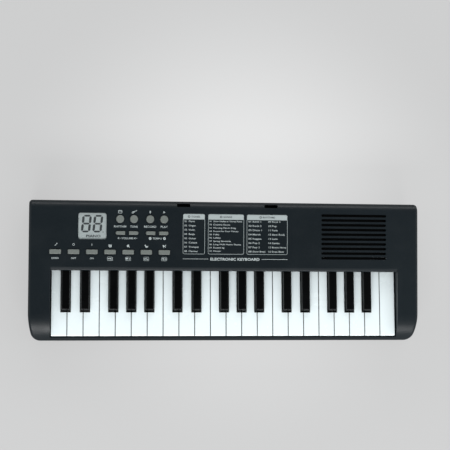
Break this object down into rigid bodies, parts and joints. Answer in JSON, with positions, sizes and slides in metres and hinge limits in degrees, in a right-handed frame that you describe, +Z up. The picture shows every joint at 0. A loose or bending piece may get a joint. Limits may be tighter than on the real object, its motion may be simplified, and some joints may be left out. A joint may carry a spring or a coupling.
{
  "type": "toy electronic keyboard",
  "caption": "Small electronic keyboard with a sprung piano key row, a sloping panel with buttons, a display window and a speaker grille, and a battery bay underneath.",
  "frame": {"origin": "under the middle of the case, on the surface that it stands on", "axes": "+X along the keys towards the high notes, +Y towards the rear edge, +Z up"},
  "size_m": [0.4266, 0.15, 0.0446],
  "materials": {
    "case_plastic": "fine satin moulded plastic, charcoal",
    "white_key_plastic": "polished moulded plastic, cool white",
    "black_key_plastic": "polished moulded plastic, black",
    "button_plastic": "satin moulded plastic, grey-green",
    "window_plastic": "clear pane",
    "steel": "bright zinc-plated steel",
    "board": "green circuit board",
    "grey_rubber": "grey silicone rubber",
    "speaker_black": "black paper cone and steel basket"
  },
  "bodies": {
    "case": {"top_case": "case_plastic", "bottom_case": "case_plastic", "key_pivot_rod": "steel", "display_window": "window_plastic", "circuit_boards": "board", "contact_rubber": "grey_rubber", "speaker": "speaker_black", "battery_contacts": "steel", "case_screws": "steel"},
    "white_key_01": {"white_key_01": "white_key_plastic"},
    "black_key_01": {"black_key_01": "black_key_plastic"},
    "white_key_02": {"white_key_02": "white_key_plastic"},
    "black_key_02": {"black_key_02": "black_key_plastic"},
    "white_key_03": {"white_key_03": "white_key_plastic"},
    "white_key_04": {"white_key_04": "white_key_plastic"},
    "black_key_03": {"black_key_03": "black_key_plastic"},
    "white_key_05": {"white_key_05": "white_key_plastic"},
    "black_key_04": {"black_key_04": "black_key_plastic"},
    "white_key_06": {"white_key_06": "white_key_plastic"},
    "black_key_05": {"black_key_05": "black_key_plastic"},
    "white_key_07": {"white_key_07": "white_key_plastic"},
    "white_key_08": {"white_key_08": "white_key_plastic"},
    "black_key_06": {"black_key_06": "black_key_plastic"},
    "white_key_09": {"white_key_09": "white_key_plastic"},
    "black_key_07": {"black_key_07": "black_key_plastic"},
    "white_key_10": {"white_key_10": "white_key_plastic"},
    "white_key_11": {"white_key_11": "white_key_plastic"},
    "black_key_08": {"black_key_08": "black_key_plastic"},
    "white_key_12": {"white_key_12": "white_key_plastic"},
    "black_key_09": {"black_key_09": "black_key_plastic"},
    "white_key_13": {"white_key_13": "white_key_plastic"},
    "black_key_10": {"black_key_10": "black_key_plastic"},
    "white_key_14": {"white_key_14": "white_key_plastic"},
    "white_key_15": {"white_key_15": "white_key_plastic"},
    "black_key_11": {"black_key_11": "black_key_plastic"},
    "white_key_16": {"white_key_16": "white_key_plastic"},
    "black_key_12": {"black_key_12": "black_key_plastic"},
    "white_key_17": {"white_key_17": "white_key_plastic"},
    "white_key_18": {"white_key_18": "white_key_plastic"},
    "black_key_13": {"black_key_13": "black_key_plastic"},
    "white_key_19": {"white_key_19": "white_key_plastic"},
    "black_key_14": {"black_key_14": "black_key_plastic"},
    "white_key_20": {"white_key_20": "white_key_plastic"},
    "black_key_15": {"black_key_15": "black_key_plastic"},
    "white_key_21": {"white_key_21": "white_key_plastic"},
    "white_key_22": {"white_key_22": "white_key_plastic"},
    "button_demo": {"button_demo": "button_plastic"},
    "button_power_off": {"button_power_off": "button_plastic"},
    "button_power_on": {"button_power_on": "button_plastic"},
    "pad_1": {"pad_1": "button_plastic"},
    "pad_2": {"pad_2": "button_plastic"},
    "pad_3": {"pad_3": "button_plastic"},
    "pad_4": {"pad_4": "button_plastic"},
    "button_rhythm": {"button_rhythm": "button_plastic"},
    "button_tone": {"button_tone": "button_plastic"},
    "button_record": {"button_record": "button_plastic"},
    "button_play": {"button_play": "button_plastic"},
    "volume_rocker": {"volume_rocker": "button_plastic"},
    "tempo_rocker": {"tempo_rocker": "button_plastic"},
    "battery_cover": {"battery_cover": "case_plastic"}
  },
  "joints": [
    {"name": "white_key_01_press", "type": "hinge", "parent": "case", "child": "white_key_01", "pos_m": [0, 0.022, 0.02], "axis": [1, 0, 0], "range_deg": [0, 2.5], "stiffness_Nm_per_rad": 0.6, "springref_deg": -3.44},
    {"name": "black_key_01_press", "type": "hinge", "parent": "case", "child": "black_key_01", "pos_m": [0, 0.022, 0.02], "axis": [1, 0, 0], "range_deg": [0, 3], "stiffness_Nm_per_rad": 0.6, "springref_deg": -3.44},
    {"name": "white_key_02_press", "type": "hinge", "parent": "case", "child": "white_key_02", "pos_m": [0, 0.022, 0.02], "axis": [1, 0, 0], "range_deg": [0, 2.5], "stiffness_Nm_per_rad": 0.6, "springref_deg": -3.44},
    {"name": "black_key_02_press", "type": "hinge", "parent": "case", "child": "black_key_02", "pos_m": [0, 0.022, 0.02], "axis": [1, 0, 0], "range_deg": [0, 3], "stiffness_Nm_per_rad": 0.6, "springref_deg": -3.44},
    {"name": "white_key_03_press", "type": "hinge", "parent": "case", "child": "white_key_03", "pos_m": [0, 0.022, 0.02], "axis": [1, 0, 0], "range_deg": [0, 2.5], "stiffness_Nm_per_rad": 0.6, "springref_deg": -3.44},
    {"name": "white_key_04_press", "type": "hinge", "parent": "case", "child": "white_key_04", "pos_m": [0, 0.022, 0.02], "axis": [1, 0, 0], "range_deg": [0, 2.5], "stiffness_Nm_per_rad": 0.6, "springref_deg": -3.44},
    {"name": "black_key_03_press", "type": "hinge", "parent": "case", "child": "black_key_03", "pos_m": [0, 0.022, 0.02], "axis": [1, 0, 0], "range_deg": [0, 3], "stiffness_Nm_per_rad": 0.6, "springref_deg": -3.44},
    {"name": "white_key_05_press", "type": "hinge", "parent": "case", "child": "white_key_05", "pos_m": [0, 0.022, 0.02], "axis": [1, 0, 0], "range_deg": [0, 2.5], "stiffness_Nm_per_rad": 0.6, "springref_deg": -3.44},
    {"name": "black_key_04_press", "type": "hinge", "parent": "case", "child": "black_key_04", "pos_m": [0, 0.022, 0.02], "axis": [1, 0, 0], "range_deg": [0, 3], "stiffness_Nm_per_rad": 0.6, "springref_deg": -3.44},
    {"name": "white_key_06_press", "type": "hinge", "parent": "case", "child": "white_key_06", "pos_m": [0, 0.022, 0.02], "axis": [1, 0, 0], "range_deg": [0, 2.5], "stiffness_Nm_per_rad": 0.6, "springref_deg": -3.44},
    {"name": "black_key_05_press", "type": "hinge", "parent": "case", "child": "black_key_05", "pos_m": [0, 0.022, 0.02], "axis": [1, 0, 0], "range_deg": [0, 3], "stiffness_Nm_per_rad": 0.6, "springref_deg": -3.44},
    {"name": "white_key_07_press", "type": "hinge", "parent": "case", "child": "white_key_07", "pos_m": [0, 0.022, 0.02], "axis": [1, 0, 0], "range_deg": [0, 2.5], "stiffness_Nm_per_rad": 0.6, "springref_deg": -3.44},
    {"name": "white_key_08_press", "type": "hinge", "parent": "case", "child": "white_key_08", "pos_m": [0, 0.022, 0.02], "axis": [1, 0, 0], "range_deg": [0, 2.5], "stiffness_Nm_per_rad": 0.6, "springref_deg": -3.44},
    {"name": "black_key_06_press", "type": "hinge", "parent": "case", "child": "black_key_06", "pos_m": [0, 0.022, 0.02], "axis": [1, 0, 0], "range_deg": [0, 3], "stiffness_Nm_per_rad": 0.6, "springref_deg": -3.44},
    {"name": "white_key_09_press", "type": "hinge", "parent": "case", "child": "white_key_09", "pos_m": [0, 0.022, 0.02], "axis": [1, 0, 0], "range_deg": [0, 2.5], "stiffness_Nm_per_rad": 0.6, "springref_deg": -3.44},
    {"name": "black_key_07_press", "type": "hinge", "parent": "case", "child": "black_key_07", "pos_m": [0, 0.022, 0.02], "axis": [1, 0, 0], "range_deg": [0, 3], "stiffness_Nm_per_rad": 0.6, "springref_deg": -3.44},
    {"name": "white_key_10_press", "type": "hinge", "parent": "case", "child": "white_key_10", "pos_m": [0, 0.022, 0.02], "axis": [1, 0, 0], "range_deg": [0, 2.5], "stiffness_Nm_per_rad": 0.6, "springref_deg": -3.44},
    {"name": "white_key_11_press", "type": "hinge", "parent": "case", "child": "white_key_11", "pos_m": [0, 0.022, 0.02], "axis": [1, 0, 0], "range_deg": [0, 2.5], "stiffness_Nm_per_rad": 0.6, "springref_deg": -3.44},
    {"name": "black_key_08_press", "type": "hinge", "parent": "case", "child": "black_key_08", "pos_m": [0, 0.022, 0.02], "axis": [1, 0, 0], "range_deg": [0, 3], "stiffness_Nm_per_rad": 0.6, "springref_deg": -3.44},
    {"name": "white_key_12_press", "type": "hinge", "parent": "case", "child": "white_key_12", "pos_m": [0, 0.022, 0.02], "axis": [1, 0, 0], "range_deg": [0, 2.5], "stiffness_Nm_per_rad": 0.6, "springref_deg": -3.44},
    {"name": "black_key_09_press", "type": "hinge", "parent": "case", "child": "black_key_09", "pos_m": [0, 0.022, 0.02], "axis": [1, 0, 0], "range_deg": [0, 3], "stiffness_Nm_per_rad": 0.6, "springref_deg": -3.44},
    {"name": "white_key_13_press", "type": "hinge", "parent": "case", "child": "white_key_13", "pos_m": [0, 0.022, 0.02], "axis": [1, 0, 0], "range_deg": [0, 2.5], "stiffness_Nm_per_rad": 0.6, "springref_deg": -3.44},
    {"name": "black_key_10_press", "type": "hinge", "parent": "case", "child": "black_key_10", "pos_m": [0, 0.022, 0.02], "axis": [1, 0, 0], "range_deg": [0, 3], "stiffness_Nm_per_rad": 0.6, "springref_deg": -3.44},
    {"name": "white_key_14_press", "type": "hinge", "parent": "case", "child": "white_key_14", "pos_m": [0, 0.022, 0.02], "axis": [1, 0, 0], "range_deg": [0, 2.5], "stiffness_Nm_per_rad": 0.6, "springref_deg": -3.44},
    {"name": "white_key_15_press", "type": "hinge", "parent": "case", "child": "white_key_15", "pos_m": [0, 0.022, 0.02], "axis": [1, 0, 0], "range_deg": [0, 2.5], "stiffness_Nm_per_rad": 0.6, "springref_deg": -3.44},
    {"name": "black_key_11_press", "type": "hinge", "parent": "case", "child": "black_key_11", "pos_m": [0, 0.022, 0.02], "axis": [1, 0, 0], "range_deg": [0, 3], "stiffness_Nm_per_rad": 0.6, "springref_deg": -3.44},
    {"name": "white_key_16_press", "type": "hinge", "parent": "case", "child": "white_key_16", "pos_m": [0, 0.022, 0.02], "axis": [1, 0, 0], "range_deg": [0, 2.5], "stiffness_Nm_per_rad": 0.6, "springref_deg": -3.44},
    {"name": "black_key_12_press", "type": "hinge", "parent": "case", "child": "black_key_12", "pos_m": [0, 0.022, 0.02], "axis": [1, 0, 0], "range_deg": [0, 3], "stiffness_Nm_per_rad": 0.6, "springref_deg": -3.44},
    {"name": "white_key_17_press", "type": "hinge", "parent": "case", "child": "white_key_17", "pos_m": [0, 0.022, 0.02], "axis": [1, 0, 0], "range_deg": [0, 2.5], "stiffness_Nm_per_rad": 0.6, "springref_deg": -3.44},
    {"name": "white_key_18_press", "type": "hinge", "parent": "case", "child": "white_key_18", "pos_m": [0, 0.022, 0.02], "axis": [1, 0, 0], "range_deg": [0, 2.5], "stiffness_Nm_per_rad": 0.6, "springref_deg": -3.44},
    {"name": "black_key_13_press", "type": "hinge", "parent": "case", "child": "black_key_13", "pos_m": [0, 0.022, 0.02], "axis": [1, 0, 0], "range_deg": [0, 3], "stiffness_Nm_per_rad": 0.6, "springref_deg": -3.44},
    {"name": "white_key_19_press", "type": "hinge", "parent": "case", "child": "white_key_19", "pos_m": [0, 0.022, 0.02], "axis": [1, 0, 0], "range_deg": [0, 2.5], "stiffness_Nm_per_rad": 0.6, "springref_deg": -3.44},
    {"name": "black_key_14_press", "type": "hinge", "parent": "case", "child": "black_key_14", "pos_m": [0, 0.022, 0.02], "axis": [1, 0, 0], "range_deg": [0, 3], "stiffness_Nm_per_rad": 0.6, "springref_deg": -3.44},
    {"name": "white_key_20_press", "type": "hinge", "parent": "case", "child": "white_key_20", "pos_m": [0, 0.022, 0.02], "axis": [1, 0, 0], "range_deg": [0, 2.5], "stiffness_Nm_per_rad": 0.6, "springref_deg": -3.44},
    {"name": "black_key_15_press", "type": "hinge", "parent": "case", "child": "black_key_15", "pos_m": [0, 0.022, 0.02], "axis": [1, 0, 0], "range_deg": [0, 3], "stiffness_Nm_per_rad": 0.6, "springref_deg": -3.44},
    {"name": "white_key_21_press", "type": "hinge", "parent": "case", "child": "white_key_21", "pos_m": [0, 0.022, 0.02], "axis": [1, 0, 0], "range_deg": [0, 2.5], "stiffness_Nm_per_rad": 0.6, "springref_deg": -3.44},
    {"name": "white_key_22_press", "type": "hinge", "parent": "case", "child": "white_key_22", "pos_m": [0, 0.022, 0.02], "axis": [1, 0, 0], "range_deg": [0, 2.5], "stiffness_Nm_per_rad": 0.6, "springref_deg": -3.44},
    {"name": "button_demo_press", "type": "slide", "parent": "case", "child": "button_demo", "axis": [0, 0.0651, -0.9979], "range_m": [0, 0.0009], "stiffness_N_per_m": 250, "springref_m": -0.002},
    {"name": "button_power_off_press", "type": "slide", "parent": "case", "child": "button_power_off", "axis": [0, 0.0651, -0.9979], "range_m": [0, 0.0009], "stiffness_N_per_m": 250, "springref_m": -0.002},
    {"name": "button_power_on_press", "type": "slide", "parent": "case", "child": "button_power_on", "axis": [0, 0.0651, -0.9979], "range_m": [0, 0.0009], "stiffness_N_per_m": 250, "springref_m": -0.002},
    {"name": "pad_1_press", "type": "slide", "parent": "case", "child": "pad_1", "axis": [0, 0.0651, -0.9979], "range_m": [0, 0.0009], "stiffness_N_per_m": 250, "springref_m": -0.002},
    {"name": "pad_2_press", "type": "slide", "parent": "case", "child": "pad_2", "axis": [0, 0.0651, -0.9979], "range_m": [0, 0.0009], "stiffness_N_per_m": 250, "springref_m": -0.002},
    {"name": "pad_3_press", "type": "slide", "parent": "case", "child": "pad_3", "axis": [0, 0.0651, -0.9979], "range_m": [0, 0.0009], "stiffness_N_per_m": 250, "springref_m": -0.002},
    {"name": "pad_4_press", "type": "slide", "parent": "case", "child": "pad_4", "axis": [0, 0.0651, -0.9979], "range_m": [0, 0.0009], "stiffness_N_per_m": 250, "springref_m": -0.002},
    {"name": "button_rhythm_press", "type": "slide", "parent": "case", "child": "button_rhythm", "axis": [0, 0.0651, -0.9979], "range_m": [0, 0.0009], "stiffness_N_per_m": 250, "springref_m": -0.002},
    {"name": "button_tone_press", "type": "slide", "parent": "case", "child": "button_tone", "axis": [0, 0.0651, -0.9979], "range_m": [0, 0.0009], "stiffness_N_per_m": 250, "springref_m": -0.002},
    {"name": "button_record_press", "type": "slide", "parent": "case", "child": "button_record", "axis": [0, 0.0651, -0.9979], "range_m": [0, 0.0009], "stiffness_N_per_m": 250, "springref_m": -0.002},
    {"name": "button_play_press", "type": "slide", "parent": "case", "child": "button_play", "axis": [0, 0.0651, -0.9979], "range_m": [0, 0.0009], "stiffness_N_per_m": 250, "springref_m": -0.002},
    {"name": "volume_rocker_tip", "type": "hinge", "parent": "case", "child": "volume_rocker", "pos_m": [-0.109, 0.04, 0.0375], "axis": [0, 0.9979, 0.0651], "range_deg": [-3, 3], "stiffness_Nm_per_rad": 0.15},
    {"name": "tempo_rocker_tip", "type": "hinge", "parent": "case", "child": "tempo_rocker", "pos_m": [-0.0766, 0.04, 0.0375], "axis": [0, 0.9979, 0.0651], "range_deg": [-3, 3], "stiffness_Nm_per_rad": 0.15},
    {"name": "battery_cover_open", "type": "hinge", "parent": "case", "child": "battery_cover", "pos_m": [0, 0.03415, 0.0015], "axis": [-1, 0, 0], "range_deg": [0, 55]}
  ]
}
